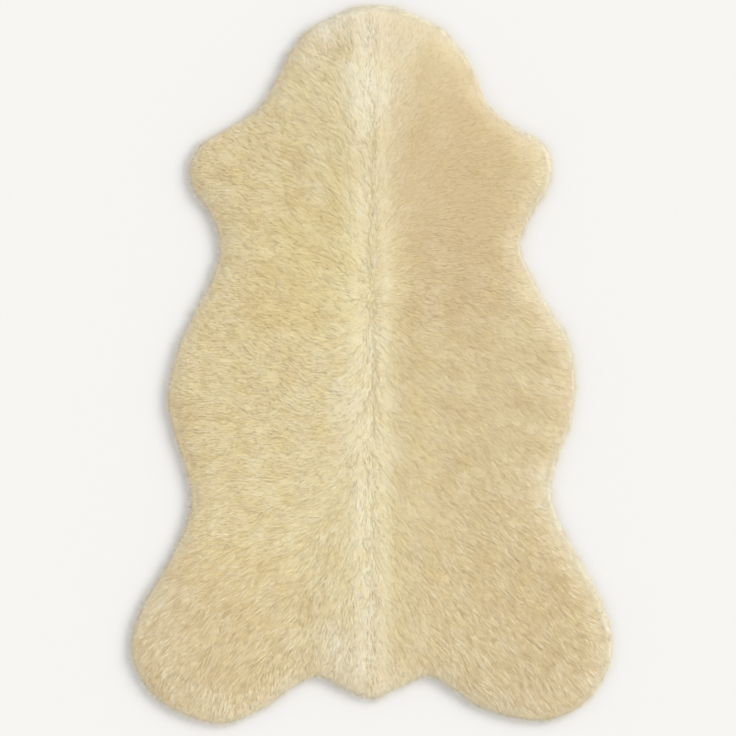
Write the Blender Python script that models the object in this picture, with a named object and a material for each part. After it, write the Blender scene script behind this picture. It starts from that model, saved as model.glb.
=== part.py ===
"""Sheepskin rug lying flat on a floor: one pelt, its tanned hide below and its wool above.

Metres, +Z up. The origin is on the floor under the middle of the rug. The spine runs along Y,
with the neck at +Y and the tail at -Y.
"""

import math

import bmesh
import bpy
import numpy as np
from mathutils.geometry import delaunay_2d_cdt

# Driving dimensions of the pelt
RUG_LENGTH = 1.000  # neck to hind feet, over the tips of the locks
RUG_WIDTH = 0.668  # across the hind legs, over the tips of the locks
HIDE_THICKNESS = 0.0018
WOOL_HEIGHT = 0.028  # from the hide to the tips of the wool, in the middle of the body
WOOL_OVERHANG = 0.014  # how far the wool reaches past the cut edge of the hide

# The wool's outline. A row is a landmark on each flank, in metres from the rug's middle:
# how far out from the spine and how far up towards the neck, for the left and the right.
NECK_CROWN = (0.000, 0.499)
TAIL_TIP = (0.000, -0.466)
OUTLINE = (
    # name              left out  left up   right out  right up
    ("neck_brow",         0.077,   0.472,    0.088,     0.472),
    ("neck_temple",       0.110,   0.439,    0.124,     0.439),
    ("neck_cheek",        0.131,   0.400,    0.147,     0.400),
    ("neck_base",         0.155,   0.359,    0.164,     0.361),
    ("foreleg_root",      0.199,   0.331,    0.197,     0.333),
    ("foreleg_shoulder",  0.238,   0.305,    0.236,     0.307),
    ("foreleg_tip",       0.254,   0.270,    0.252,     0.272),
    ("foreleg_under",     0.247,   0.235,    0.246,     0.237),
    ("foreleg_pit",       0.225,   0.205,    0.226,     0.205),
    ("chest",             0.212,   0.164,    0.210,     0.165),
    ("ribs",              0.222,   0.121,    0.222,     0.130),
    ("flank",             0.249,   0.070,    0.250,     0.078),
    ("belly_top",         0.271,   0.020,    0.275,     0.038),
    ("belly",             0.284,  -0.044,    0.286,    -0.022),
    ("belly_low",         0.277,  -0.090,    0.279,    -0.083),
    ("waist_top",         0.260,  -0.145,    0.260,    -0.136),
    ("waist",             0.252,  -0.186,    0.251,    -0.178),
    ("haunch",            0.262,  -0.228,    0.266,    -0.228),
    ("thigh",             0.288,  -0.279,    0.294,    -0.279),
    ("hind_leg_out",      0.318,  -0.329,    0.322,    -0.336),
    ("hind_leg_side",     0.334,  -0.383,    0.334,    -0.394),
    ("hind_foot_out",     0.323,  -0.430,    0.317,    -0.444),
    ("hind_foot_corner",  0.285,  -0.473,    0.284,    -0.479),
    ("hind_foot",         0.211,  -0.500,    0.230,    -0.496),
    ("hind_foot_in",      0.150,  -0.479,    0.155,    -0.479),
    ("hind_leg_in",       0.110,  -0.451,    0.112,    -0.451),
    ("tail_notch",        0.075,  -0.435,    0.078,    -0.435),
    ("tail_side",         0.040,  -0.450,    0.041,    -0.450),
)

# The rim's section, from underneath to the top. Inset is measured in from the wool's outline
# and height up from the floor, in the grooves between two locks. Reach is how far a full lock
# stands out of its groove there, and rise how far above it.
RIM_SECTION = (
    # name         row      inset          height          reach   rise
    ("hide_under", "lower", WOOL_OVERHANG, 0.0000,         0.0000, 0.0000),
    ("hide_edge",  "lower", WOOL_OVERHANG, HIDE_THICKNESS, 0.0000, 0.0000),
    ("lower_tips", "lower", 0.0100,        0.0036,         0.0110, -0.0018),
    ("between",    "upper", 0.0075,        0.0086,         0.0020, 0.0000),
    ("upper_tips", "upper", 0.0105,        0.0136,         0.0095, -0.0024),
    ("shoulder",   "upper", 0.0150,        0.0188,         0.0045, 0.0028),
    ("brow",       "upper", 0.0270,        0.0232,         0.0000, 0.0030),
)
HIDE_RINGS = 2  # the first rings, which bound the hide
ROLL_WIDTH = 0.055  # the top is level this far in from the outline

# Locks lie side by side over the rim in two rows, each lock of the lower row under a groove
# of the upper one.
LOCKS_IN_A_ROW = 112
LOCK_FACETS = 5
LOCK_WIDTH_SPREAD = 0.45  # how much wider or narrower than the mean a lock may be
LEAST_LOCK_REACH = 0.45  # of a full lock's
LOCK_ROUNDNESS = 2.1  # the higher, the blunter a lock
LOCK_LEAN = 0.75  # how much a lock turns from straight out towards the way the wool lies

# Tufts on top, as raised ovals laid along the wool's fall
TUFT_LENGTH = 0.040
TUFT_WIDTH = 0.026
TUFT_RELIEF = 0.0060
TUFT_STRAY = 0.3  # of a tuft's size: how far its middle may lie off the even pattern
SURFACE_STEP = 0.0160  # spacing of the points that shape the top
BROW_MARGIN = 0.6  # of a surface step: how near the brow a point may lie

# The parting along the spine
PARTING_DEPTH = 0.0045
PARTING_WIDTH = 0.015
PARTING_TOP = 0.455
PARTING_END = -0.300

# The wool falls away from this stretch of the spine, and leans towards the tail.
SPINE_TOP = 0.380
SPINE_END = -0.200
TAILWARD_LEAN = 0.35
PARTING_LEAN = 1.1
PARTING_LEAN_WIDTH = 0.028

OUTLINE_FINENESS = 12  # points between two landmarks before the outline is divided again
CREASE_ANGLE = math.radians(60)  # edges sharper than this are shaded sharp
SHORTEST = 1e-6  # the least length that a direction is divided by
SAME_POINT = 1e-7  # points nearer than this are one
SEED = 7

WOOL_SLOT, HIDE_SLOT = 0, 1
HIDE_COLOUR = (0.640, 0.520, 0.375, 1.0)
HIDE_ROUGHNESS = 0.85
WOOL_COLOUR = (0.694, 0.578, 0.347, 1.0)
WOOL_ROUGHNESS = 0.95


def clear_scene():
    for thing in list(bpy.data.objects):
        bpy.data.objects.remove(thing)


def material(name, colour, roughness):
    """A Principled finish with one colour."""
    made = bpy.data.materials.new(name)
    made.use_nodes = True
    shader = made.node_tree.nodes["Principled BSDF"]
    shader.inputs["Base Color"].default_value = colour
    shader.inputs["Roughness"].default_value = roughness
    shader.inputs["Metallic"].default_value = 0.0
    return made


def landmarks():
    """The outline's landmarks as one loop, from the crown down the left flank and up the right."""
    left = [(-row[1], row[2]) for row in OUTLINE]
    right = [(row[3], row[4]) for row in reversed(OUTLINE)]
    return np.array([NECK_CROWN, *left, TAIL_TIP, *right])


def smooth_loop(points, fineness):
    """A closed Catmull-Rom curve through the points."""
    before, after = np.roll(points, 1, axis=0), np.roll(points, -1, axis=0)
    beyond = np.roll(points, -2, axis=0)
    steps = []
    for t in np.arange(fineness) / fineness:
        steps.append(
            0.5 * (2 * points + (after - before) * t
                   + (2 * before - 5 * points + 4 * after - beyond) * t**2
                   + (3 * points - before - 3 * after + beyond) * t**3)
        )
    return np.stack(steps, axis=1).reshape(-1, 2)


def loop_at(loop, shares):
    """Points of a closed curve at these shares of its length."""
    closed = np.vstack([loop, loop[:1]])
    travelled = np.concatenate([[0], np.cumsum(np.linalg.norm(np.diff(closed, axis=0), axis=1))])
    wanted = shares * travelled[-1]
    return np.stack([np.interp(wanted, travelled, closed[:, axis]) for axis in (0, 1)], axis=1)


def wool_outline():
    """The wool's outline at full fineness, at the rug's length and width and centred."""
    loop = smooth_loop(landmarks(), OUTLINE_FINENESS)
    low, high = loop.min(axis=0), loop.max(axis=0)
    size = np.array([RUG_WIDTH, RUG_LENGTH])
    return (loop - (low + high) / 2) * size / (high - low)


def outward(loop):
    """Unit vectors in the plane, square to a loop that runs anticlockwise, pointing out."""
    along = np.roll(loop, -1, axis=0) - np.roll(loop, 1, axis=0)
    normal = np.stack([along[:, 1], -along[:, 0]], axis=1)
    return normal / np.linalg.norm(normal, axis=1, keepdims=True)


def inset_loop(loop, distance):
    """distance is one number, or one for each point."""
    return loop - outward(loop) * np.broadcast_to(distance, len(loop))[:, None]


def distance_in(points, outline):
    """How far inside the outline each point lies."""
    start, end = outline, np.roll(outline, -1, axis=0)
    side = end - start
    to_point = points[:, None] - start
    share = np.clip((to_point * side).sum(-1) / (side**2).sum(-1), 0, 1)
    away = np.linalg.norm(to_point - share[..., None] * side, axis=-1)
    return away.min(axis=1)


def is_inside(points, loop):
    """Counts how often a ray towards +X crosses the loop."""
    x, y = points[:, :1], points[:, 1:]
    (x0, y0), (x1, y1) = loop.T, np.roll(loop, -1, axis=0).T
    spans = (y0 > y) != (y1 > y)
    rise = np.where(y1 == y0, 1.0, y1 - y0)
    crossing = x0 + (y - y0) / rise * (x1 - x0)
    return (spans & (crossing > x)).sum(axis=1) % 2 == 1


def fall(point):
    """The way the wool lies at a point, in the plane: off the spine, and towards the tail."""
    x, y = point
    nearest = min(max(y, SPINE_END), SPINE_TOP)
    away = np.array([x, y - nearest])
    away /= max(np.linalg.norm(away), SHORTEST)
    lean = TAILWARD_LEAN if y < SPINE_TOP else 0.0
    lean += PARTING_LEAN * math.exp(-((x / PARTING_LEAN_WIDTH) ** 2)) * (y < SPINE_TOP)
    away[1] -= lean
    return away / max(np.linalg.norm(away), SHORTEST)


def tuft_centres(random):
    """Middles of the tufts, on a shaken brick pattern over the whole rug."""
    rows = np.arange(-RUG_LENGTH / 2, RUG_LENGTH / 2, TUFT_WIDTH)
    centres = []
    for number, y in enumerate(rows):
        shift = (number % 2) * TUFT_LENGTH / 2
        for x in np.arange(-RUG_WIDTH / 2 - shift, RUG_WIDTH / 2, TUFT_LENGTH):
            centres.append((x, y))
    centres = np.array(centres)
    stray = random.uniform(-TUFT_STRAY, TUFT_STRAY, centres.shape) * (TUFT_LENGTH, TUFT_WIDTH)
    return centres + stray


def tuft_relief(points, centres):
    """Height of the nearest tuft at each point: full on its middle, none half a tuft away."""
    lay = np.array([fall(centre) for centre in centres])
    across = np.stack([-lay[:, 1], lay[:, 0]], axis=1)
    offset = points[:, None] - centres
    along_share = (offset * lay).sum(-1) / (TUFT_LENGTH / 2)
    across_share = (offset * across).sum(-1) / (TUFT_WIDTH / 2)
    reach = (along_share**2 + across_share**2).min(axis=1)
    return TUFT_RELIEF * np.clip(1 - reach, 0, 1)


def top_height(points, outline, centres):
    """The wool's upper surface: rolled at the rim, parted along the spine, tufted all over."""
    inward = np.clip(distance_in(points, outline) / ROLL_WIDTH, 0, 1)
    brow = RIM_SECTION[-1][3]
    level = HIDE_THICKNESS + WOOL_HEIGHT - TUFT_RELIEF
    height = brow + (level - brow) * (1 - (1 - inward) ** 2)
    on_spine = (points[:, 1] < PARTING_TOP) & (points[:, 1] > PARTING_END)
    parting = PARTING_DEPTH * np.exp(-((points[:, 0] / PARTING_WIDTH) ** 2)) * on_spine
    return height + tuft_relief(points, centres) - parting


def surface_points(loop):
    """Points for the top, on a triangular grid inside the loop and in a line down the spine."""
    row_step = SURFACE_STEP * math.sqrt(3) / 2
    rows = np.arange(-RUG_LENGTH / 2, RUG_LENGTH / 2, row_step)
    columns = np.arange(0, RUG_WIDTH / 2, SURFACE_STEP)
    columns = np.concatenate([-columns[:0:-1], columns])
    grid = [
        (x + (number % 2) * math.copysign(SURFACE_STEP / 2, x) * (x != 0), y)
        for number, y in enumerate(rows)
        for x in columns
    ]
    grid = np.array(grid)
    clear = distance_in(grid, loop) > BROW_MARGIN * SURFACE_STEP
    return grid[is_inside(grid, loop) & clear]


def add_top(shell, brow_ring, outline, centres):
    """Fills the brow ring with the tufted top."""
    ring = np.array([vertex.co[:2] for vertex in brow_ring])
    inner = surface_points(ring)
    flat = np.vstack([ring, inner])
    edges = [(i, (i + 1) % len(ring)) for i in range(len(ring))]
    filled = delaunay_2d_cdt([tuple(p) for p in flat], edges, [], 1, SAME_POINT)
    heights = top_height(inner, outline, centres)
    inside = [shell.verts.new((*p, z)) for p, z in zip(inner, heights)]
    corners = brow_ring + inside
    for triangle in filled[2]:
        shell.faces.new([corners[i] for i in triangle])


def lock_columns(random):
    """Where the rim's columns of points stand, as shares of its length. Locks differ in width."""
    widths = random.uniform(1 - LOCK_WIDTH_SPREAD, 1 + LOCK_WIDTH_SPREAD, LOCKS_IN_A_ROW)
    steps = np.repeat(widths, LOCK_FACETS)
    return (np.cumsum(steps) - steps) / steps.sum()


def lock_row(shift, random):
    """How much of a full lock stands at each column: none in a groove, most on a crest."""
    place = np.arange(LOCK_FACETS) / LOCK_FACETS
    crest = 1 - np.abs(2 * place - 1) ** LOCK_ROUNDNESS
    reaches = random.uniform(LEAST_LOCK_REACH, 1, LOCKS_IN_A_ROW)
    return np.roll(np.outer(reaches, crest).ravel(), shift)


def rim_rings(shell, base, random):
    """The loops of points that the rim's section gives, from underneath to the top."""
    rows = {"lower": lock_row(LOCK_FACETS // 2, random), "upper": lock_row(0, random)}
    out = outward(base)
    along = np.stack([-out[:, 1], out[:, 0]], axis=1)
    lean = LOCK_LEAN * np.array([fall(point) @ way for point, way in zip(base, along)])
    rings = []
    for _, row, inset, height, reach, rise in RIM_SECTION:
        stands = rows[row][:, None] * reach
        loop = inset_loop(base, inset) + out * stands + along * lean[:, None] * stands
        heights = height + rows[row] * rise
        rings.append([shell.verts.new((*p, z)) for p, z in zip(loop, heights)])
    return rings


def add_walls(shell, rings):
    """Joins each ring to the next."""
    for number, (lower, upper) in enumerate(zip(rings, rings[1:]), start=1):
        for i in range(len(lower)):
            j = (i + 1) % len(lower)
            panel = shell.faces.new((lower[i], lower[j], upper[j], upper[i]))
            panel.material_index = HIDE_SLOT if number < HIDE_RINGS else WOOL_SLOT


def fit_to_size(shell):
    """Centres the rug and brings it over its locks to its driving length and width."""
    points = np.array([vertex.co[:2] for vertex in shell.verts])
    low, high = points.min(axis=0), points.max(axis=0)
    across, along = np.array([RUG_WIDTH, RUG_LENGTH]) / (high - low)
    middle = (low + high) / 2
    for vertex in shell.verts:
        vertex.co.x = (vertex.co.x - middle[0]) * across
        vertex.co.y = (vertex.co.y - middle[1]) * along


def sheepskin(outline):
    """The pelt as one closed solid: flat below, lumpy above, with locks at its rim."""
    random = np.random.default_rng(SEED)
    base = loop_at(outline, lock_columns(random))
    shell = bmesh.new()
    rings = rim_rings(shell, base, random)
    underside = shell.faces.new(reversed(rings[0]))
    underside.material_index = HIDE_SLOT
    add_walls(shell, rings)
    add_top(shell, rings[-1], outline, tuft_centres(random))
    fit_to_size(shell)
    bmesh.ops.recalc_face_normals(shell, faces=shell.faces)
    mesh = bpy.data.meshes.new("sheepskin")
    shell.to_mesh(mesh)
    shell.free()
    mesh.shade_smooth()
    mesh.set_sharp_from_angle(angle=CREASE_ANGLE)
    return bpy.data.objects.new("sheepskin", mesh)


def main():
    clear_scene()
    rug = bpy.data.collections.new("sheepskin_rug")
    bpy.context.scene.collection.children.link(rug)
    pelt = sheepskin(wool_outline())
    pelt.data.materials.append(material("wool", WOOL_COLOUR, WOOL_ROUGHNESS))
    pelt.data.materials.append(material("tanned_hide", HIDE_COLOUR, HIDE_ROUGHNESS))
    rug.objects.link(pelt)


main()
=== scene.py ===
import math

import bpy
import numpy as np
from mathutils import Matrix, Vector
from mathutils.bvhtree import BVHTree
from mathutils.kdtree import KDTree


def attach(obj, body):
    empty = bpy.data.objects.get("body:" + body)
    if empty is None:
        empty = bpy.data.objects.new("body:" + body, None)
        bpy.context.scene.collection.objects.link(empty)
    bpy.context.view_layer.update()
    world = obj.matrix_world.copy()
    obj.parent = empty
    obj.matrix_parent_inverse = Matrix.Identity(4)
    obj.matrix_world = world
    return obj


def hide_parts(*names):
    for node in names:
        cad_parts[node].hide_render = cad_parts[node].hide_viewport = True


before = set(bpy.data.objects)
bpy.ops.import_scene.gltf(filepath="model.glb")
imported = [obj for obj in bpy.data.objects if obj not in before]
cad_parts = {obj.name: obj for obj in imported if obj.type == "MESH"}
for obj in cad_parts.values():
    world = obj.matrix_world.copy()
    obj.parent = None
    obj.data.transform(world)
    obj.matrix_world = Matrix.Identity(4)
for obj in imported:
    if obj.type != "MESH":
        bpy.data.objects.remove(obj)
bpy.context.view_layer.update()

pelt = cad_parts["sheepskin"]
weldGap = 0.00002  # points of the pelt that are this close are one
seeds = {"dice": 41, "parting": 3, "lie": 5, "ragged": (11, 12), "tone": 21, "hue": 31}
dice = np.random.default_rng(seeds["dice"])


def deselectAll():
    bpy.ops.object.select_all(action="DESELECT")


def pickOnly(thing):
    deselectAll()
    thing.select_set(True)
    bpy.context.view_layer.objects.active = thing


def editAll(thing):
    pickOnly(thing)
    bpy.ops.object.mode_set(mode="EDIT")
    bpy.ops.mesh.select_all(action="SELECT")


def editFaces(thing, wanted):
    # leaves the piece in edit mode with only the wanted faces picked
    editAll(thing)
    bpy.ops.mesh.select_mode(type="FACE")
    bpy.ops.mesh.select_all(action="DESELECT")
    bpy.ops.object.mode_set(mode="OBJECT")
    for face in thing.data.polygons:
        face.select = wanted(face)
    bpy.ops.object.mode_set(mode="EDIT")


def applyModifier(thing, kind, **settings):
    pickOnly(thing)
    added = thing.modifiers.new(kind.title(), kind)
    for name, value in settings.items():
        setattr(added, name, value)
    bpy.ops.object.modifier_apply(modifier=added.name)


def cornersOf(thing, what="co"):
    flat = np.empty(len(thing.data.vertices) * 3)
    thing.data.vertices.foreach_get(what, flat)
    return flat.reshape(-1, 3)


def moveCorners(thing, places):
    thing.data.vertices.foreach_set("co", np.asarray(places, float).ravel())
    thing.data.update()


def unit(vectors):
    return vectors / np.maximum(np.linalg.norm(vectors, axis=-1, keepdims=True), 1e-9)


def turned(ways, turns):
    # ways in the plane, each turned by its own angle in radians
    cos, sin = np.cos(turns), np.sin(turns)
    return np.stack([ways[:, 0] * cos - ways[:, 1] * sin,
                     ways[:, 0] * sin + ways[:, 1] * cos], axis=1)


def fade(values):
    # falls smoothly from 1 to 0 as the values rise past 0
    return 1 / (1 + np.exp(values))


def varied(spread, count, limits):
    # sizes around 1, for so many strands
    return (1 + dice.normal(0, spread, count)).clip(*limits)


def wobble(places, size, seed, waves=9):
    # slow, even changes between about -1 and 1, from a few crossing waves
    rolls = np.random.default_rng(seed)
    total = np.zeros(len(places))
    for _ in range(waves):
        turn = rolls.uniform(0, 2 * math.pi)
        pitch = 2 * math.pi / (size * rolls.uniform(0.7, 1.6))
        across = places[:, 0] * math.cos(turn) + places[:, 1] * math.sin(turn)
        total += np.sin(across * pitch + rolls.uniform(0, 2 * math.pi))
    return total / math.sqrt(waves)


class Wire:
    # a material socket that can be added, multiplied and mixed
    def __init__(self, socket):
        self.socket = socket

    def node(self, kind, settings=None, sockets=None, out=0):
        tree = self.socket.id_data
        made = tree.nodes.new(kind)
        for name, value in (settings or {}).items():
            if name == "stops":
                ramp = made.color_ramp.elements
                while len(ramp) < len(value):
                    ramp.new(0.5)
                for element, (place, colour) in zip(ramp, value):
                    element.position = place
                    element.color = (*colour, 1.0)
            else:
                setattr(made, name, value)
        for name, value in (sockets or {}).items():
            if isinstance(value, Wire):
                tree.links.new(value.socket, made.inputs[name])
            else:
                made.inputs[name].default_value = value
        return Wire(made.outputs[out])

    def maths(self, operation, first, second):
        return self.node("ShaderNodeMath", {"operation": operation}, {0: first, 1: second})

    def __add__(self, other):
        return self.maths("ADD", self, other)

    def __sub__(self, other):
        return self.maths("SUBTRACT", self, other)

    def __rsub__(self, other):
        return self.maths("SUBTRACT", other, self)

    def __mul__(self, other):
        return self.maths("MULTIPLY", self, other)

    __radd__ = __add__
    __rmul__ = __mul__

    def mix(self, first, second):
        # this wire is the share of the second colour, and 6, 7 and out 2 are the colours' sockets
        return self.node("ShaderNodeMix", {"data_type": "RGBA"},
                         {0: self, 6: first, 7: second}, out=2)


def newFinish(name, source="Object"):
    made = bpy.data.materials.new(name)
    made.use_nodes = True
    shader = made.node_tree.nodes["Principled BSDF"]
    places = Wire(made.node_tree.nodes.new("ShaderNodeTexCoord").outputs[source])
    return made, shader, places


def plug(wire, shader, socket):
    shader.id_data.links.new(wire.socket, shader.inputs[socket])


def setPlain(shader, values):
    for name, value in values.items():
        shader.inputs[name].default_value = value


def noiseOn(places, scale, detail):
    sockets = {"Vector": places, "Scale": scale, "Detail": detail}
    return places.node("ShaderNodeTexNoise", None, sockets)


def rampOn(wire, stops):
    return wire.node("ShaderNodeValToRGB", {"stops": stops}, {0: wire})


def addBump(height, shader, strength, distance):
    sockets = {"Height": height, "Strength": strength, "Distance": distance}
    plug(height.node("ShaderNodeBump", None, sockets), shader, "Normal")


# The light is soft and comes from the upper right, so the left and lower rims have the shade.
studio = {
    "viewWidth": 1.0222,          # metres that the picture shows across at the rug
    "viewCentre": (-0.0049, -0.0056),
    "lens": 85,
    "floorSize": 9.0,
    "floorHeight": -0.0002,       # just clear of the skin, so that the two faces don't fight
    "floorFinish": {
        "Base Color": (0.875, 0.862, 0.848, 1.0),
        "Roughness": 0.9,
        "Specular IOR Level": 0.1,
    },
    "skyColour": (1.0, 0.995, 0.985, 1.0),
    "skyStrength": 0.735,
    "sunFrom": (1.0, 0.45, 0.98),
    "sunStrength": 1.57,
    "sunSpread": 38,              # degrees across, as a big soft window
}


def makeStudio():
    scene = bpy.context.scene
    scene.view_settings.view_transform = "Standard"
    scene.view_settings.look = "None"
    scene.view_settings.exposure = 0.0

    deselectAll()
    bpy.ops.mesh.primitive_plane_add(size=studio["floorSize"],
                                     location=(0, 0, studio["floorHeight"]))
    floor = bpy.context.object
    floor.name = "studioFloor"
    paper, shader, _ = newFinish("palePaper")
    setPlain(shader, studio["floorFinish"])
    floor.data.materials.append(paper)

    world = bpy.data.worlds.new("studioSky")
    world.use_nodes = True
    setPlain(world.node_tree.nodes["Background"],
             {"Color": studio["skyColour"], "Strength": studio["skyStrength"]})
    scene.world = world

    window = bpy.data.lights.new("window", "SUN")
    window.energy = studio["sunStrength"]
    window.angle = math.radians(studio["sunSpread"])
    holder = bpy.data.objects.new("window", window)
    holder.rotation_mode = "QUATERNION"
    holder.rotation_quaternion = Vector(studio["sunFrom"]).to_track_quat("Z", "Y")
    scene.collection.objects.link(holder)

    view = bpy.data.cameras.new("overhead")
    view.lens = studio["lens"]
    height = studio["viewWidth"] * view.lens / view.sensor_width
    camera = bpy.data.objects.new("overhead", view)
    camera.location = (*studio["viewCentre"], height)
    scene.collection.objects.link(camera)
    scene.camera = camera


makeStudio()
print("studio set")

# How the wool is combed: degrees from straight right, root to tip, turning towards the neck.
# The charts have a row for each height up the spine and a column for each distance out from it.
combing = {
    "out": [0.008, 0.045, 0.120, 0.250],
    "up": [0.46, 0.30, 0.20, 0.10, 0.05, -0.03, -0.10, -0.18, -0.25, -0.35, -0.45],
    "left": [
        [103, 122, 142, 150],
        [112, 140, 160, 176],
        [116, 146, 163, 173],
        [170, 156, 162, 176],
        [240, 164, 161, 180],
        [254, 174, 160, 182],
        [260, 186, 170, 186],
        [266, 215, 186, 192],
        [268, 240, 200, 204],
        [270, 252, 220, 224],
        [266, 260, 250, 240],
    ],
    "right": [
        [84, 60, 24, 10],
        [70, 42, 14, -6],
        [62, 30, 0, -12],
        [10, -8, -18, -26],
        [-48, -26, -26, -34],
        [-54, -30, -29, -35],
        [-62, -34, -33, -35],
        [-68, -42, -38, -38],
        [-70, -48, -41, -41],
        [-74, -55, -46, -46],
        [-76, -64, -55, -50],
    ],
    # where the wool lies every way: x, y, size, degrees of turn. The wool of the spine starts
    # to lie the other way at the first, and the second is a curl on the crown.
    "whorls": [(-0.002, 0.092, 0.012, 45), (-0.041, 0.420, 0.017, 45)],
    "partingWander": 0.003,
    "partingSize": 0.09,
    "wander": 10,            # degrees, slow changes over a few centimetres
    "wanderSize": 0.055,
    "rimTurn": 0.75,         # how strongly the wool turns straight out at the rim
    "hindTurn": -0.60,       # and how much less it does so on the haunches
    "rimWidth": 0.022,
}
# the haunches have the longest and straightest wool, below this height and away from the spine
haunches = {"top": -0.20, "topFade": 0.035, "fromSpine": 0.075, "spineFade": 0.015}


def chartAngle(places, side):
    chart = np.array(combing[side], float)
    heights, outs = combing["up"][::-1], combing["out"]
    columns = [np.interp(places[:, 1], heights, chart[::-1, i]) for i in range(len(outs))]
    columns = np.stack(columns, axis=1)
    slot = np.interp(np.abs(places[:, 0]), outs, np.arange(len(outs)))
    lower = np.minimum(slot.astype(int), len(outs) - 2)
    share = slot - lower
    rows = np.arange(len(places))
    return columns[rows, lower] * (1 - share) + columns[rows, lower + 1] * share


def longAt(places):
    low = fade((places[:, 1] - haunches["top"]) / haunches["topFade"])
    aside = haunches["fromSpine"] - np.abs(places[:, 0])
    return low * fade(aside / haunches["spineFade"])


def woolDirection(places, depth, outward):
    # depth is how far inside the hide's edge a place is, outward the way straight out there
    wander = wobble(places * [0.0, 1.0], combing["partingSize"], seeds["parting"])
    wander = combing["partingWander"] * wander
    fromSpine = places + np.stack([wander, 0 * wander], axis=1)
    left = fromSpine[:, 0] < 0
    angle = np.where(left, chartAngle(fromSpine, "left"), chartAngle(fromSpine, "right"))
    angle = angle + combing["wander"] * wobble(places, combing["wanderSize"], seeds["lie"])
    lie = np.stack([np.cos(np.radians(angle)), np.sin(np.radians(angle))], axis=1)
    turn = combing["rimTurn"] * (1 + combing["hindTurn"] * longAt(places))
    turn = turn * np.exp(-np.clip(depth, 0, 1) / combing["rimWidth"])
    return unit(lie + outward * turn[:, None])


def copyOfPelt(name):
    made = pelt.copy()
    made.data = pelt.data.copy()
    made.name = made.data.name = name
    for key in list(made.keys()):
        del made[key]
    made.parent = None
    made.data.materials.clear()
    bpy.context.scene.collection.objects.link(made)
    editAll(made)
    bpy.ops.mesh.remove_doubles(threshold=weldGap)
    bpy.ops.object.mode_set(mode="OBJECT")
    return made


hideSettings = {
    "thickness": 0.0018,
    "cutEdge": 0.0004,        # the knife's edge, worn a little round
    "cornerAngle": 50,        # degrees, from which a fold counts as the cut edge
    "levelAngle": 1,          # and up to which two faces are one
    "flat": (0.640, 0.972),   # the box of the blank, cut from one skin
    "area": 0.433,
}


def makeHide():
    # the flat underside of the pelt, cut out; finishHide gives it the skin's thickness
    hide = copyOfPelt("hide")
    editFaces(hide, lambda face: face.center.z > weldGap)
    bpy.ops.mesh.delete(type="FACE")
    bpy.ops.mesh.select_all(action="SELECT")
    bpy.ops.mesh.dissolve_limited(angle_limit=math.radians(hideSettings["levelAngle"]),
                                  use_dissolve_boundaries=False)
    bpy.ops.object.mode_set(mode="OBJECT")
    return hide


hide = makeHide()
edgeLoop = cornersOf(hide)[list(hide.data.polygons[0].vertices)][:, :2]
batchSize = 3000  # places worked out at a time, to save memory
print("hide cut:", len(hide.data.polygons), "face,", len(edgeLoop), "points round it")


def rimOf(places):
    # for each place: how far inside the hide's edge it is, and the way straight out of the rug
    start, end = edgeLoop, np.roll(edgeLoop, -1, axis=0)
    side = end - start
    lengths = (side ** 2).sum(axis=1)
    rise = np.where(side[:, 1] == 0, 1.0, side[:, 1])
    depths, ways, stations = [], [], []
    for batch in np.array_split(places, len(places) // batchSize + 1):
        toPlace = batch[:, None] - start
        share = np.clip((toPlace * side).sum(-1) / lengths, 0, 1)
        gap = toPlace - share[..., None] * side
        distance = np.linalg.norm(gap, axis=-1)
        nearest = distance.argmin(axis=1)
        rows = np.arange(len(batch))
        spans = (start[:, 1] > batch[:, 1:]) != (end[:, 1] > batch[:, 1:])
        crossing = start[:, 0] + (batch[:, 1:] - start[:, 1]) / rise * side[:, 0]
        inside = (spans & (crossing > batch[:, :1])).sum(axis=1) % 2 == 1
        sign = np.where(inside, 1.0, -1.0)
        depths.append(distance[rows, nearest] * sign)
        ways.append(-gap[rows, nearest] * sign[:, None])
        stations.append(nearest + share[rows, nearest])
    return np.concatenate(depths), unit(np.concatenate(ways)), np.concatenate(stations)


# Tufts are the small locks that the wool gathers into, each a long oval laid along the combing.
tufting = {
    "spacing": 0.0180,
    "long": 1.75,            # length over width
    "stray": 0.42,
    "ragged": 0.0032,        # how far a tuft's border wanders
    "raggedSize": 0.020,
    "twist": 5,              # degrees that one tuft turns off the combing
    "reach": (0.36, 0.52),   # they are planted this far out each way
    "overhang": 0.022,       # and this far past the hide's edge
    "neighbours": 9,         # tufts that a place may belong to
    "borderSlope": 1.6,
}


def plantTufts():
    step = tufting["spacing"]
    across, up = tufting["reach"]
    rows = np.arange(-up, up, step * math.sqrt(3) / 2)
    columns = np.arange(-across, across, step)
    middles = np.array([(x + (i % 2) * step / 2, y) for i, y in enumerate(rows) for x in columns])
    middles = middles + dice.uniform(-1, 1, middles.shape) * step * tufting["stray"]
    depth, outward, _ = rimOf(middles)
    kept = depth > -tufting["overhang"]
    middles, depth, outward = middles[kept], depth[kept], outward[kept]
    lie = woolDirection(middles, depth, outward)
    return middles, turned(lie, np.radians(dice.normal(0, tufting["twist"], len(lie))))


tuftMiddles, tuftLie = plantTufts()
tuftTree = KDTree(len(tuftMiddles))
for number, (x, y) in enumerate(tuftMiddles):
    tuftTree.insert((x, y, 0), number)
tuftTree.balance()
print("tufts planted:", len(tuftMiddles))


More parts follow.
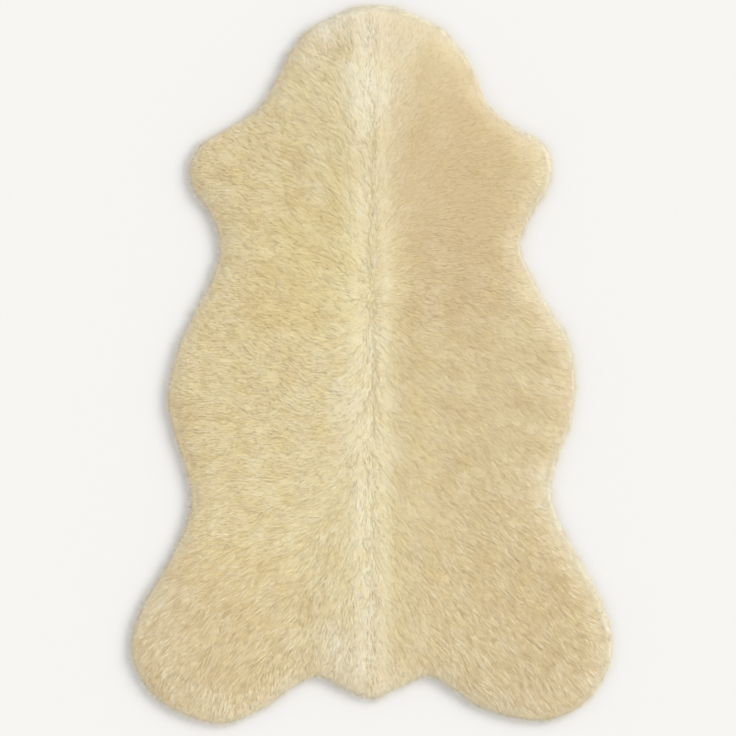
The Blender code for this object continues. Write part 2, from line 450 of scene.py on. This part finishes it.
def tuftOf(places):
    # the tuft each place belongs to, how far to its side it is, and how near its border
    ragged = [tufting["ragged"] * wobble(places, tufting["raggedSize"], seed)
              for seed in seeds["ragged"]]
    shaken = places + np.stack(ragged, axis=1)
    near = [tuftTree.find_n((x, y, 0), tufting["neighbours"]) for x, y in shaken]
    near = np.array([[index for _, index, _ in found] for found in near])
    offset = shaken[:, None] - tuftMiddles[near]
    lie = tuftLie[near]
    along = (offset * lie).sum(-1)
    aside = offset[..., 1] * lie[..., 0] - offset[..., 0] * lie[..., 1]
    reach = np.hypot(along / tufting["long"], aside)
    order = np.argsort(reach, axis=1)
    rows = np.arange(len(places))
    first, second = order[:, 0], order[:, 1]
    inner, outer = reach[rows, first], reach[rows, second]
    apart = (outer - inner) / (outer + inner + 1e-9)
    border = 1 - np.clip(apart * tufting["borderSlope"], 0, 1)
    return near[rows, first], aside[rows, first], border


# The left half shows its tufts and strands most, the right half less, and the right shoulder
# and neck least, above this height.
calming = {
    "right": 0.22,
    "rightFade": 0.012,
    "shoulder": 0.46,
    "shoulderFrom": 0.15,
    "shoulderFade": 0.06,
}


def livelyAt(places):
    right = fade(-places[:, 0] / calming["rightFade"])
    high = fade((calming["shoulderFrom"] - places[:, 1]) / calming["shoulderFade"])
    lively = 1 - calming["right"] * right * (1 - longAt(places))
    return lively - calming["shoulder"] * right * high


tone = {
    "middle": 0.365,
    "drift": 0.05,           # slow changes over the whole rug
    "driftSize": 0.060,
    "tuftToTuft": 0.050,
    "strandToStrand": 0.086,
    "border": -0.10,         # painted shade: darker where two tufts part
    "rim": 0.22,             # painted light: paler at the rim, filling the shade that falls there
    "paintedSunRim": 0.24,        # more painted light, most of all on the rim that faces the sun
    "sunnyWay": (0.91, 0.41),
    "rimWidth": 0.013,
    "rimEnd": -0.003,        # as far outside the hide's edge as it still grows paler
    "wall": 0.22,            # painted light: paler again where the rim turns down, lifting the wall's shade, least so on the sunny side
    "wallFrom": -0.001,
    "wallFade": 0.0012,
    "spineCalm": 0.45,       # tufts differ this much less along the spine
    "spineWidth": 0.035,
    "limits": (0.02, 0.98),
}
# paler and darker parts of the pelt: x, y, half width, half height, change of tone
pelage = {
    "spine": (-0.016, -0.04, 0.040, 0.44, 0.21),
    "parting": (0.000, -0.02, 0.024, 0.36, 0.17),
    "nape": (0.002, 0.370, 0.030, 0.055, 0.25),
    "crown": (-0.030, 0.42, 0.080, 0.085, 0.22),
    "tailRoot": (-0.035, -0.40, 0.030, 0.055, 0.22),
    "rightOfSpine": (0.042, 0.20, 0.032, 0.19, -0.14),
    "rightShoulder": (0.130, 0.27, 0.085, 0.17, -0.38),
    "rightLoin": (0.130, -0.12, 0.080, 0.30, -0.11),
    "leftShoulder": (-0.190, 0.18, 0.060, 0.06, 0.05),
    "leftRib": (-0.124, 0.075, 0.050, 0.040, -0.10),
    "rightRib": (0.120, 0.075, 0.050, 0.040, -0.09),
    "leftLoin": (-0.090, -0.12, 0.080, 0.25, 0.09),
    "leftFlank": (-0.240, -0.03, 0.050, 0.19, 0.08),
    "leftHind": (-0.200, -0.350, 0.110, 0.100, -0.20),
    "rightHind": (0.250, -0.340, 0.100, 0.120, -0.25),
    "crownLeft": (-0.063, 0.464, 0.025, 0.025, 0.14),
    "crownCurl": (-0.041, 0.420, 0.018, 0.018, -0.16),
    "rightFlank": (0.240, -0.020, 0.040, 0.110, -0.12),
    "leftLoinSide": (-0.245, -0.090, 0.035, 0.045, -0.14),
}
# whiter (above 0) and more honey-coloured parts, in the same way
hues = {
    "rightHalf": (0.190, 0.00, 0.160, 0.60, 0.22),
    "rightOfParting": (0.030, 0.30, 0.030, 0.12, 0.30),
    "rightShoulder": (0.085, 0.24, 0.060, 0.17, 0.30),
    "leftShoulder": (-0.085, 0.12, 0.070, 0.10, -0.30),
    "leftOfParting": (-0.030, 0.15, 0.028, 0.12, -0.15),
    "haunches": (-0.040, -0.42, 0.120, 0.12, 0.20),
    "leftFoot": (-0.290, -0.420, 0.090, 0.130, 0.62),
    "rightFoot": (0.280, -0.450, 0.110, 0.090, 0.35),
    "crownTop": (0.010, 0.470, 0.110, 0.050, 0.35),
}
hueDrift = {
    "middle": 0.45,
    "drift": 0.07,
    "size": 0.045,
    "strand": 0.12,
    "rim": 0.34,
    "rimWidth": 0.030,
    "strips": 4,             # strands come in this many hues
}
tuftTones = dice.normal(0, 1, len(tuftMiddles))


def patchesAt(places, patches):
    value = np.zeros(len(places))
    for x, y, halfWidth, halfHeight, change in patches.values():
        spread = ((places[:, 0] - x) / halfWidth) ** 2
        spread = spread + np.abs((places[:, 1] - y) / halfHeight) ** 4
        value += change * np.exp(-spread)
    return value


def toneAt(places, depth, outward, owners, border):
    value = tone["middle"] + patchesAt(places, pelage)
    value += tone["drift"] * wobble(places, tone["driftSize"], seeds["tone"])
    calm = 1 - tone["spineCalm"] * np.exp(-(places[:, 0] / tone["spineWidth"]) ** 2)
    lively = livelyAt(places) * calm
    value += lively * tone["tuftToTuft"] * tuftTones[owners]
    # painted shade in the creases between the tufts
    value += lively * tone["border"] * border ** 2
    # painted light on the rim, strongest on the side that faces the sun
    sunny = outward @ np.array(tone["sunnyWay"])
    paler = tone["rim"] + tone["paintedSunRim"] * sunny
    # painted light on the shaded part of the rim's wall
    wall = fade((depth - tone["wallFrom"]) / tone["wallFade"])
    value += tone["wall"] * (1 - sunny.clip(0)) * wall
    return value + paler * np.exp(-depth.clip(tone["rimEnd"]) / tone["rimWidth"])


# The wool's own body, under the strands
underwool = {
    "voxel": 0.0033,
    "smoothing": 14,
    "sink": 0.0030,
    "foot": 0.0015,           # it stands on the hide and laps over its edge
    "footNormal": -0.6,       # what faces down more than this is its underside
    "levelGap": 0.00005,      # what is flat underneath lies this close to its foot
    "levelAngle": 2,
    "topNormal": (0.15, 0.65),  # what faces up more than the first begins to be its top
    "inner": 0.003,           # and so is all that lies further in than this
    "innerHeight": 0.008,     # and higher than this
    "cap": 0.0004,            # nothing stands further above the wanted height
    # height of its top at each distance inside the hide's edge
    "depth": [-0.0120, -0.0080, -0.0035, 0.0010, 0.0060, 0.0130, 0.0250, 0.0450, 0.0700],
    "height": [0.0080, 0.0112, 0.0135, 0.0156, 0.0173, 0.0192, 0.0210, 0.0221, 0.0226],
    # how far inside the hide's edge its wall is at each height, and how evenly it keeps to that
    "wallHeight": [0.0025, 0.0040, 0.0055, 0.0080, 0.0100, 0.0120, 0.0140, 0.0155],
    "wall": [0.0020, -0.0016, -0.0044, -0.0055, -0.0055, -0.0046, -0.0024, 0.0005],
    "even": 0.9,
    "wallFrom": 0.001,        # the wall takes over from here, over this width
    "wallBlend": 0.003,
    "flanks": 0.0042,         # it stands out this much more at the left and right
    # and here too, fading out from the one height to the other: x, y, half width, half
    # height, metres further out
    "bulgeHeight": [0.0090, 0.0155],
    "bulges": {
        "crown": (0.040, 0.492, 0.060, 0.035, 0.0045),
        "rightShoulder": (0.236, 0.308, 0.035, 0.040, 0.0044),
        "rightHind": (0.295, -0.290, 0.075, 0.130, 0.0050),
    },
    "relief": 0.0009,         # between two tufts
    "reliefRim": 0.020,       # less of it this near the rim
    "partingDepth": 0.0006,
    "partingWidth": 0.005,
    "partingEnds": (-0.33, 0.455),
}


def makeUnderwool():
    body = copyOfPelt("underwool")
    applyModifier(body, "REMESH", mode="VOXEL", voxel_size=underwool["voxel"])
    applyModifier(body, "SMOOTH", factor=0.5, iterations=underwool["smoothing"])
    applyModifier(body, "DISPLACE", strength=-underwool["sink"], mid_level=0.0)

    places, normals = cornersOf(body), cornersOf(body, "normal")
    flat = places[:, :2]
    depth, outward, _ = rimOf(flat)
    top = np.interp(normals[:, 2], underwool["topNormal"], [0.0, 1.0])
    inner = depth > underwool["inner"]
    top[inner & (places[:, 2] > underwool["innerHeight"])] = 1.0
    wanted = np.interp(depth, underwool["depth"], underwool["height"])
    owners, _, border = tuftOf(flat)
    lively = livelyAt(flat) * np.clip(depth / underwool["reliefRim"], 0, 1)
    wanted = wanted - underwool["relief"] * border ** 3 * lively
    start, end = underwool["partingEnds"]
    onSpine = (flat[:, 1] > start) & (flat[:, 1] < end)
    parting = np.exp(-(flat[:, 0] / underwool["partingWidth"]) ** 2) * onSpine
    wanted = wanted - underwool["partingDepth"] * parting
    places[:, 2] = places[:, 2] * (1 - top) + wanted * top
    places[:, 2] = np.minimum(places[:, 2], wanted + underwool["cap"])
    below = (normals[:, 2] < underwool["footNormal"]) & inner
    places[:, 2] = np.where(below, underwool["foot"], np.maximum(places[:, 2], underwool["foot"]))
    wall = np.interp(places[:, 2], underwool["wallHeight"], underwool["wall"])
    wall = wall - underwool["flanks"] * np.abs(outward[:, 0])
    low = np.interp(places[:, 2], underwool["bulgeHeight"], [1.0, 0.0])
    wall = wall - patchesAt(flat, underwool["bulges"]) * low
    share = np.clip((underwool["wallFrom"] - depth) / underwool["wallBlend"], 0, 1)
    share = underwool["even"] * share
    places[:, :2] += outward * ((depth - wall) * share)[:, None]
    moveCorners(body, places)
    tones = body.data.attributes.new("tone", "FLOAT", "POINT")
    tones.data.foreach_set("value", toneAt(flat, depth, outward, owners, border))

    # its own underside is one flat face, so it takes few faces
    editFaces(body, lambda face: face.center.z < underwool["foot"] + underwool["levelGap"])
    bpy.ops.mesh.dissolve_limited(angle_limit=math.radians(underwool["levelAngle"]))
    bpy.ops.mesh.select_all(action="SELECT")
    bpy.ops.mesh.quads_convert_to_tris()
    bpy.ops.mesh.normals_make_consistent(inside=False)
    bpy.ops.object.mode_set(mode="OBJECT")
    bpy.ops.object.shade_smooth()
    return body


underBody = makeUnderwool()
print("underwool shaped:", len(underBody.data.polygons), "faces")

# The strands that show: each is a small bundle of wool hairs, wide at its middle.
strands = {
    "grid": 0.00166,          # one strand for each square of this size
    "spineGrid": 0.00140,     # closer where the wool parts
    "spineWidth": 0.016,
    "length": 0.0155,
    "lengthSpread": 0.22,
    "width": 0.00086,
    "widthSpread": 0.25,
    "thick": 0.32,            # of its width, and it is flat on top
    "midHeight": 0.0009,      # above the underwool
    "midSpread": 0.16,
    "tipHeight": 0.0011,
    "tipSpread": 0.22,
    "limits": (0.5, 1.6),     # of the usual length or width
    "bend": (0.45, 0.55),     # its two halves, before and after its middle
    "bendFacing": (0.7, 0.3), # how much of the way it faces is its middle's and its root's
    "leastFacing": 0.05,      # it never faces down
    "rootDepth": 0.0006,      # in the underwool
    "lowestRoot": 0.0010,     # clear of the floor
    "lowest": 0.0006,
    "dome": 0.0006,           # a tuft's middle stands this much above its borders
    "tipDome": 0.6,
    "gather": 0.11,           # how far the tips draw to their tuft's middle line
    "tuftLie": 0.5,           # how far they lie as their tuft does and not as combed
    "fray": 8,                # degrees, strand by strand
    "stray": 0.05,            # share of the strands that lie another way
    "strayTurn": 20,
    "strayLength": 0.8,
    "wave": 0.0004,
    "droop": 0.9,             # how much the strands on the rim's wall hang
    "free": 0.0025,           # and how far they stand free of its lower edge
    "freeWay": (1, 1, 0.2),
    "undercut": -0.35,        # what faces down more than this is under the wall
    "bareBelow": 0.0022,      # no strand grows lower than this
    "steep": 0.62,            # what faces up less than this is the rim's wall
    "tries": 5,               # points tried for each square
    "ragged": (0.5, 1.5),     # the spine's and the rim's strips have no even border
    "soft": 0.85,             # share of the surface's own direction in a strand's shading
    "toneWidth": 0.006,       # from the middle of a strand to its side
    "stations": (0.04, 0.50, 0.96),  # its root, middle and tip along its strip of colour
    # along the spine they are shorter and differ more
    "spineShort": 0.25,
    "spineLift": 0.5,
    "spineTone": 1.0,
    # where the rug is calm they lie flatter, down to this share
    "calmLift": 0.4,
    "calmRim": 0.015,
    # near the rim they are closer, finer, shorter and lie flatter
    "rimGrid": 0.00130,
    "rimReach": 0.0060,
    "rimWidth": 0.70,
    "rimLength": 0.90,
    "rimLift": 0.50,
    "rimCalm": 0.6,
    "rimFade": 0.002,
    # and on the haunches they are longer and straighter and differ more
    "hindLength": 0.35,
    "hindFray": -0.40,
    "hindTone": 1.45,
    "hindGather": -0.50,
}
# the squares of the spine, the rim and its wall are numbered apart from the others'
squareNumbers = {"spine": -5000, "rim": -9000, "wall": 5000, "row": 100000}


def strandRoots():
    # points over the underwool, one in each square of the top and of the rim's wall
    mesh = underBody.data
    mesh.calc_loop_triangles()
    corners = cornersOf(underBody)
    faces = np.empty(len(mesh.loop_triangles) * 3, np.int32)
    mesh.loop_triangles.foreach_get("vertices", faces)
    faces = faces.reshape(-1, 3)
    a, b, c = (corners[faces[:, i]] for i in range(3))
    normal = np.cross(b - a, c - a)
    area = np.linalg.norm(normal, axis=1) / 2
    normal = unit(normal)
    area = area * ((normal[:, 2] > strands["undercut"]) & (c[:, 2] > strands["bareBelow"]))
    count = int(strands["tries"] * area.sum() / strands["grid"] ** 2)
    picked = np.searchsorted(np.cumsum(area), dice.uniform(0, area.sum(), count))
    picked = np.minimum(picked, len(area) - 1)
    p, q = dice.uniform(0, 1, (2, count))
    fold = p + q > 1
    p, q = np.where(fold, 1 - p, p), np.where(fold, 1 - q, q)
    roots = a[picked] + (b - a)[picked] * p[:, None] + (c - a)[picked] * q[:, None]
    steep = normal[picked][:, 2] < strands["steep"]
    square = roots[:, :2] / strands["grid"]
    parting = strands["spineWidth"] * dice.uniform(*strands["ragged"], count)
    parting = np.abs(roots[:, 0]) < parting
    square[parting] = roots[parting, :2] / strands["spineGrid"] + squareNumbers["spine"]
    inside = rimOf(corners[:, :2])[0][faces].mean(axis=1)[picked]
    border = inside < strands["rimReach"] * dice.uniform(*strands["ragged"], count)
    step = strands["rimGrid"]
    square[border] = roots[border, :2] / step + squareNumbers["rim"]
    # on the wall the squares run along the hide's edge and up
    _, _, station = rimOf(roots[steep, :2])
    spacing = np.linalg.norm(edgeLoop - np.roll(edgeLoop, 1, axis=0), axis=1).mean()
    square[steep] = np.stack([station * spacing / step + squareNumbers["wall"],
                              roots[steep, 2] / step], axis=1)
    square = np.floor(square).astype(np.int64)
    _, kept = np.unique(square[:, 0] * squareNumbers["row"] + square[:, 1], return_index=True)
    depth, outward, _ = rimOf(roots[kept, :2])
    return roots[kept], depth, outward


def spotsOn(tree, places):
    # the nearest spots on the underwool, and the ways that it faces there
    spots, normals = np.empty_like(places), np.empty_like(places)
    for i, place in enumerate(places):
        spot, normal, _, _ = tree.find_nearest(Vector(place))
        spots[i], normals[i] = spot, normal
    return spots, normals


def alongSurface(ways, normals):
    return unit(ways - (ways * normals).sum(1, keepdims=True) * normals)


def growStrands(roots, depth, outward):
    count = len(roots)
    tree = BVHTree.FromObject(underBody, bpy.context.evaluated_depsgraph_get())
    _, normals = spotsOn(tree, roots)
    owners, aside, border = tuftOf(roots[:, :2])
    ofTuft = tuftLie[owners]
    lie = woolDirection(roots[:, :2], depth, outward)
    lie = unit(lie * (1 - strands["tuftLie"]) + ofTuft * strands["tuftLie"])
    stray = dice.uniform(0, 1, count) < strands["stray"]
    hind = longAt(roots[:, :2])
    fray = np.where(stray, strands["strayTurn"], strands["fray"])
    fray = fray * (1 + strands["hindFray"] * hind)
    for x, y, size, turn in combing["whorls"]:
        fromWhorl = np.hypot(roots[:, 0] - x, roots[:, 1] - y)
        fray += turn * np.exp(-(fromWhorl / size) ** 2)
    lie = turned(lie, np.radians(dice.normal(0, fray)))
    alive = livelyAt(roots[:, :2])
    lively = alive * np.clip(depth / strands["calmRim"], 0, 1)
    length = strands["length"] * varied(strands["lengthSpread"], count, strands["limits"])
    width = strands["width"] * varied(strands["widthSpread"], count, strands["limits"])
    onSpine = np.exp(-(roots[:, 0] / strands["spineWidth"]) ** 2)
    atRim = fade((depth - strands["rimReach"]) / strands["rimFade"])
    length = length * (1 - strands["spineShort"] * onSpine + strands["hindLength"] * hind)
    length = length * np.where(stray, strands["strayLength"], 1.0)
    length = length * (1 - (1 - strands["rimLength"]) * atRim)
    width = width * (1 - (1 - strands["rimWidth"]) * atRim)
    flatter = 1 - (1 - strands["rimLift"]) * atRim
    flatter = flatter * (strands["calmLift"] + (1 - strands["calmLift"]) * alive)

    # gather towards the middle line of the tuft
    line = np.stack([-ofTuft[:, 1], ofTuft[:, 0]], axis=1)
    gather = strands["gather"] * lively * (1 + strands["hindGather"] * hind)
    gather = -(gather * aside)[:, None] * line
    heading = np.zeros((count, 3))
    heading[:, :2] = unit(lie * length[:, None] + gather)
    heading[:, 2] = -strands["droop"] * (1 - normals[:, 2].clip(0, 1))

    # the middle of each strand, and the way that it faces there
    firstHalf, secondHalf = strands["bend"]
    first = alongSurface(heading, normals)
    midSpots, midNormals = spotsOn(tree, roots + first * (length * firstHalf)[:, None])
    ofMiddle, ofRoot = strands["bendFacing"]
    facing = midNormals * ofMiddle + normals * ofRoot
    facing[:, 2] = np.maximum(facing[:, 2], strands["leastFacing"])
    facing = unit(facing)
    dome = strands["dome"] * (1 - border) * lively
    lift = 1 + dice.normal(0, strands["midSpread"], count) + onSpine * strands["spineLift"]
    lift = strands["midHeight"] * lift + dome
    middles = midSpots + facing * (lift * flatter)[:, None]

    # its tip, which stands free where it passes the wall's lower edge, though not far
    second = alongSurface(first, facing)
    reach = midSpots + second * (length * secondHalf)[:, None]
    tipSpots, tipNormals = spotsOn(tree, reach)
    under = tipNormals[:, 2] < strands["undercut"]
    free = reach[under] - tipSpots[under]
    far = np.maximum(np.linalg.norm(free, axis=1, keepdims=True), 1e-6)
    tipNormals[under] = unit(facing[under] * strands["freeWay"])
    tipSpots[under] += free * np.minimum(1, strands["free"] / far)
    lift = strands["tipHeight"] * (1 + dice.normal(0, strands["tipSpread"], count))
    lift = lift + dome * strands["tipDome"]
    tips = tipSpots + tipNormals * (lift * flatter)[:, None]
    sideways = np.cross(second, facing)
    middles += sideways * (dice.normal(0, strands["wave"], count))[:, None]
    for points in (middles, tips):
        points[:, 2] = np.maximum(points[:, 2], strands["lowest"] + width * strands["thick"])
    roots = roots - normals * strands["rootDepth"]
    roots[:, 2] = np.maximum(roots[:, 2], strands["lowestRoot"])

    tones = toneAt(roots[:, :2], depth, outward, owners, border)
    spread = 1 + strands["spineTone"] * onSpine + strands["hindTone"] * hind
    spread = tone["strandToStrand"] * livelyAt(roots[:, :2]) * spread
    spread = spread * (1 - strands["rimCalm"] * atRim)
    tones += spread * dice.normal(0, 1, count)
    white = hueDrift["middle"] + patchesAt(roots, hues)
    white += hueDrift["drift"] * wobble(roots, hueDrift["size"], seeds["hue"])
    white += hueDrift["strand"] * dice.normal(0, 1, count)
    white += hueDrift["rim"] * np.exp(-depth.clip(0) / hueDrift["rimWidth"])
    return roots, middles, tips, facing, width, tones.clip(*tone["limits"]), white


# single fine hairs that stand out from the rim's wall and soften its line
fuzz = {
    "count": 16500,
    "inset": 0.002,           # they grow no further inside the hide's edge than this
    "bareBelow": 0.005,
    "length": 0.0072,
    "lengthSpread": 0.35,
    "lengthLimits": (0.3, 1.7),
    "width": 0.00020,
    "widthSpread": 0.2,
    "widthLimits": (0.5, 1.5),
    "turn": 15,               # degrees to either side
    "rise": -0.05,
    "riseSpread": 0.16,
    "sag": 8,                 # times the length squared
    "lowest": 0.0008,         # clear of the floor
    # pale, carrying the rim's painted light out into the fuzz
    "tone": 0.85,
    "toneSpread": 0.08,
}


def growFuzz(roots, depth, outward):
    count = fuzz["count"]
    edge = np.flatnonzero((depth < fuzz["inset"]) & (roots[:, 2] > fuzz["bareBelow"]))
    edge = dice.choice(edge, count)
    roots, outward = roots[edge], outward[edge]
    heading = turned(outward, np.radians(dice.normal(0, fuzz["turn"], count)))
    rise = dice.normal(fuzz["rise"], fuzz["riseSpread"], count)
    heading = unit(np.column_stack([heading, rise]))
    length = fuzz["length"] * varied(fuzz["lengthSpread"], count, fuzz["lengthLimits"])
    middles = roots + heading * (length * 0.5)[:, None]
    tips = roots + heading * length[:, None]
    tips[:, 2] = np.maximum(tips[:, 2] - length ** 2 * fuzz["sag"], fuzz["lowest"])
    facing = alongSurface(np.broadcast_to([0.0, 0.0, 1.0], roots.shape), heading)
    width = fuzz["width"] * varied(fuzz["widthSpread"], count, fuzz["widthLimits"])
    tones = dice.normal(fuzz["tone"], fuzz["toneSpread"], count).clip(*tone["limits"])
    white = np.full(count, hueDrift["middle"] + hueDrift["rim"])
    return roots, middles, tips, facing, width, tones, white


def weaveStrands(name, roots, middles, tips, facing, width, tones, white):
    # every strand is its root, two points across its middle, and its tip: a closed sliver
    count = len(roots)
    heading = unit(tips - roots)
    right = unit(np.cross(heading, facing))
    up = np.cross(right, heading)
    rise = ((middles - roots) * up).sum(1)
    middles = middles + up * (width * strands["thick"] - rise).clip(0)[:, None]
    half = (width / 2)[:, None]
    corners = np.stack([roots, middles - right * half, middles + right * half, tips], axis=1)
    ways = np.stack([facing, -right, right, facing], axis=1)
    normals = unit(ways * (1 - strands["soft"]) + facing[:, None] * strands["soft"])
    # u is the strand's tone; v goes from root to tip in one of a few strips, honey up to white
    u = np.array([0, -1, 1, 0]) * strands["toneWidth"]
    root, middle, tip = strands["stations"]
    strips = hueDrift["strips"]
    strip = np.floor(white.clip(0, 0.999) * strips)
    v = (strip[:, None] + np.array([root, middle, middle, tip])) / strips
    points = len(u)
    pattern = np.array([(0, 2, 1), (3, 1, 2), (0, 1, 3), (0, 3, 2)])
    faces = (pattern[None] + points * np.arange(count)[:, None, None]).reshape(-1, 3)
    mesh = bpy.data.meshes.new(name)
    mesh.vertices.add(count * points)
    mesh.vertices.foreach_set("co", corners.ravel())
    mesh.loops.add(faces.size)
    mesh.loops.foreach_set("vertex_index", faces.ravel().astype(np.int32))
    mesh.polygons.add(len(faces))
    mesh.polygons.foreach_set("loop_start", np.arange(0, faces.size, 3, dtype=np.int32))
    mesh.update()
    uv = np.stack([tones[:, None] + u, v], axis=2).reshape(-1, 2)
    layer = mesh.uv_layers.new(name="OFBake")
    layer.data.foreach_set("uv", uv[faces.ravel()].ravel())
    mesh.validate()
    mesh.shade_smooth()
    mesh.normals_split_custom_set_from_vertices(normals.reshape(-1, 3))
    made = bpy.data.objects.new(name, mesh)
    bpy.context.scene.collection.objects.link(made)
    return made


wool = {
    # tone from dark to pale, as it looks at the tips
    "tipStops": [
        (0.00, (0.730, 0.555, 0.280)),
        (0.35, (0.845, 0.698, 0.402)),
        (0.60, (0.890, 0.768, 0.485)),
        (1.00, (0.995, 0.935, 0.695)),
    ],
    # darker and warmer towards the roots: painted shade of the deep pile
    "shadedRootStops": [
        (0.00, (0.690, 0.510, 0.245)),
        (0.50, (0.830, 0.665, 0.365)),
        (1.00, (0.920, 0.810, 0.545)),
    ],
    "honey": (1.000, 1.000, 0.905, 1.0),
    "white": (0.983, 1.008, 1.150, 1.0),
    "tipFrom": 0.75,          # along a strand, from here on it is its tip's colour
    "roughness": (0.82, 0.12),  # at the root, and how much more at the tip
    "sheen": {
        "Specular IOR Level": 0.25,
        "Sheen Weight": 0.25,
        "Sheen Roughness": 0.5,
        "Sheen Tint": (1.0, 0.94, 0.80, 1.0),
    },
}


def woolFinish():
    # u is the tone and v runs along the strand, as weaveStrands lays them out
    made, shader, places = newFinish("clippedWool", "UV")
    across = places.node("ShaderNodeSeparateXYZ", None, {0: places})
    strips = Wire(across.socket.node.outputs[1]) * hueDrift["strips"]
    along = strips.node("ShaderNodeMath", {"operation": "FRACT"}, {0: strips})
    white = strips.node("ShaderNodeMath", {"operation": "FLOOR"}, {0: strips})
    white = white * (1 / (hueDrift["strips"] - 1))
    # the roots' colour is painted shade of the deep pile
    tip, root = rampOn(across, wool["tipStops"]), rampOn(across, wool["shadedRootStops"])
    share = along.node("ShaderNodeMapRange", {"interpolation_type": "SMOOTHSTEP"},
                       {0: along, 1: 0.0, 2: wool["tipFrom"]})
    tint = white.mix(wool["honey"], wool["white"])
    colour = share.node("ShaderNodeMix", {"data_type": "RGBA", "blend_type": "MULTIPLY"},
                        {0: 1.0, 6: share.mix(root, tip), 7: tint}, out=2)
    plug(colour, shader, "Base Color")
    least, more = wool["roughness"]
    plug(least + along * more, shader, "Roughness")
    setPlain(shader, wool["sheen"])
    return made


# The underwool has the strands' colours, flecked; its darkest flecks take the roots' colours,
# painted shade where it shows between the strands.
flecks = {
    "noise": (420.0, 4.0),    # scale and detail
    "tone": 0.2,
    "rootShare": 0.5,         # how much of the roots' painted-shade colour shows in the darkest flecks
    "roughness": (0.85, 0.1),
    "bump": (0.5, 0.0008),    # strength and distance
    "plain": {"Specular IOR Level": 0.2},
}


def underwoolFinish():
    made, shader, places = newFinish("underwool")
    fine = noiseOn(places, *flecks["noise"])
    tones = places.node("ShaderNodeAttribute", {"attribute_name": "tone"}, out=2)
    tones = tones + (fine - 0.5) * flecks["tone"]
    tip, root = rampOn(tones, wool["tipStops"]), rampOn(tones, wool["shadedRootStops"])
    plug((fine * flecks["rootShare"]).mix(tip, root), shader, "Base Color")
    least, more = flecks["roughness"]
    plug(least + fine * more, shader, "Roughness")
    addBump(fine, shader, *flecks["bump"])
    setPlain(shader, flecks["plain"])
    return made


# The skin's underside is suede, with slow patches, a fine nap and pores.
suede = {
    "dark": (0.62, 0.49, 0.33, 1.0),
    "pale": (0.78, 0.67, 0.50, 1.0),
    "patches": (9.0, 4.0),    # scale and detail
    "nap": (900.0, 3.0),
    "pores": 520.0,
    "paleShare": (0.75, 0.25),  # from the patches and from the nap
    "heightShare": (0.6, 0.4),  # from the nap and from the pores
    "roughness": (0.8, 0.15),
    "bump": (0.35, 0.0006),   # strength and distance
    "plain": {"Specular IOR Level": 0.2},
}


def hideFinish():
    made, shader, places = newFinish("tannedSkin")
    slow, nap = noiseOn(places, *suede["patches"]), noiseOn(places, *suede["nap"])
    sockets = {"Vector": places, "Scale": suede["pores"]}
    pores = places.node("ShaderNodeTexVoronoi", None, sockets)
    ofPatches, ofNap = suede["paleShare"]
    share = slow * ofPatches + nap * ofNap
    plug(share.mix(suede["dark"], suede["pale"]), shader, "Base Color")
    least, more = suede["roughness"]
    plug(least + nap * more, shader, "Roughness")
    ofNap, ofPores = suede["heightShare"]
    addBump(nap * ofNap + pores * ofPores, shader, *suede["bump"])
    setPlain(shader, suede["plain"])
    return made


def finishHide():
    applyModifier(hide, "SOLIDIFY", thickness=hideSettings["thickness"], offset=-1.0)
    applyModifier(hide, "BEVEL", width=hideSettings["cutEdge"], segments=1,
                  limit_method="ANGLE", angle_limit=math.radians(hideSettings["cornerAngle"]))
    editAll(hide)
    bpy.ops.mesh.quads_convert_to_tris()
    bpy.ops.mesh.normals_make_consistent(inside=False)
    bpy.ops.object.mode_set(mode="OBJECT")
    hide.data.materials.append(hideFinish())


finishHide()
underBody.data.materials.append(underwoolFinish())
print("hide and underwool finished")

rooted = strandRoots()
grown = [np.concatenate(parts) for parts in zip(growStrands(*rooted), growFuzz(*rooted))]
print("strands grown:", len(grown[0]))
bandNames = ["woolNeck", "woolShoulders", "woolFlanks", "woolLoins", "woolHaunches"]
order = np.argsort(-grown[0][:, 1])
finish = woolFinish()
woolPieces = []
for bandName, band in zip(bandNames, np.array_split(order, len(bandNames))):
    piece = weaveStrands(bandName, *(part[band] for part in grown))
    piece.data.materials.append(finish)
    woolPieces.append(piece)
print("strands woven into", len(woolPieces), "pieces")

for piece in [hide, underBody, *woolPieces]:
    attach(piece, "root")
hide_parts("sheepskin")
